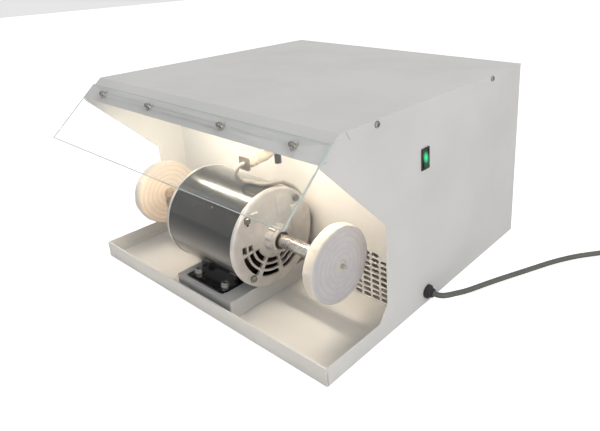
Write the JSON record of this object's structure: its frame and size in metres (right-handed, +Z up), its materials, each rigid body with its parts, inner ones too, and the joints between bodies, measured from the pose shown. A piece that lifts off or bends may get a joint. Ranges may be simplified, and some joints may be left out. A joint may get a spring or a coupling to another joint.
{
  "type": "dental polishing lathe",
  "caption": "Bench polishing lathe with a double-ended motor and two buffs in a lit suction hood with a glass shield",
  "frame": {"origin": "middle of the underside of the base pan", "axes": "+Z up, +Y to the back, +X to the right seen from the front"},
  "size_m": [0.9641, 0.7653, 0.36],
  "materials": {
    "cabinet_paint": "satin",
    "riser_paint": "satin",
    "shield_glass": "gloss",
    "zinc_screws": "satin",
    "lamp_white": "matte",
    "white_sheet": "gloss",
    "black_plastic": "satin",
    "green_rocker": "gloss",
    "terminal_brass": "satin",
    "black_shell": "gloss",
    "cast_bell": "satin",
    "core_steel": "matte",
    "copper_winding": "gloss",
    "bright_steel": "gloss",
    "fan_aluminium": "satin",
    "muslin": "matte",
    "beige_socket": "satin",
    "grey_lead": "matte",
    "filter_card": "matte",
    "filter_fibre": "matte"
  },
  "bodies": {
    "cabinet": {"base_pan": "cabinet_paint", "left_side_panel": "cabinet_paint", "right_side_panel": "cabinet_paint", "top_cover": "cabinet_paint", "cabinet_screws": "zinc_screws", "inner_back_wall": "cabinet_paint", "rear_panel": "cabinet_paint", "glass_shield": "shield_glass", "shield_screws": "zinc_screws", "shield_washers": "zinc_screws", "shield_nuts": "zinc_screws", "lamp_channel": "white_sheet", "lamp_tube": "lamp_white", "lamp_sockets": "black_plastic", "switch_bezel": "black_plastic", "switch_tabs": "terminal_brass", "cord_gland": "black_plastic", "motor_shell": "black_shell", "left_end_bell": "cast_bell", "right_end_bell": "cast_bell", "hub_rings": "cast_bell", "stator_core": "core_steel", "through_bolts": "core_steel", "stator_windings": "copper_winding", "shaft_bearings": "bright_steel", "lead_grommet": "black_plastic", "riser": "riser_paint", "foot_plate": "black_shell", "foot_rails": "riser_paint", "foot_bolts": "zinc_screws", "foot_washers": "zinc_screws", "foot_nuts": "zinc_screws", "lathe_plug": "black_plastic", "hood_socket": "beige_socket", "socket_boot": "black_plastic", "ceiling_grommet": "black_plastic", "hood_lead": "grey_lead", "lathe_lead": "grey_lead", "filter_frame": "filter_card", "filter_media": "filter_fibre", "filter_guides": "zinc_screws", "blower_scroll": "white_sheet", "blower_stands": "white_sheet", "blower_motor": "black_shell", "run_capacitor": "black_plastic", "mains_cord": "grey_lead", "mains_cord_coil": "grey_lead", "plug_body": "grey_lead", "plug_blades": "terminal_brass"},
    "lathe_rotor": {"motor_shaft": "bright_steel", "rotor_core": "core_steel", "cooling_fan": "fan_aluminium", "left_spindle": "bright_steel", "right_spindle": "bright_steel", "set_screws": "bright_steel", "left_buff": "muslin", "right_buff": "muslin"},
    "suction_wheel": {"impeller": "fan_aluminium", "blower_shaft": "bright_steel"},
    "rocker_switch": {"rocker": "green_rocker"}
  },
  "joints": [
    {"name": "lathe_spin", "type": "hinge", "parent": "cabinet", "child": "lathe_rotor", "pos_m": [0, -0.1835, 0.1226], "axis": [1, 0, 0], "continuous": true},
    {"name": "suction_spin", "type": "hinge", "parent": "cabinet", "child": "suction_wheel", "pos_m": [-0.04, 0.1125, 0.152], "axis": [1, 0, 0], "continuous": true},
    {"name": "switch_rock", "type": "hinge", "parent": "cabinet", "child": "rocker_switch", "pos_m": [0.3035, -0.045, 0.2665], "axis": [0, 1, 0], "range_deg": [-14, 0]}
  ]
}
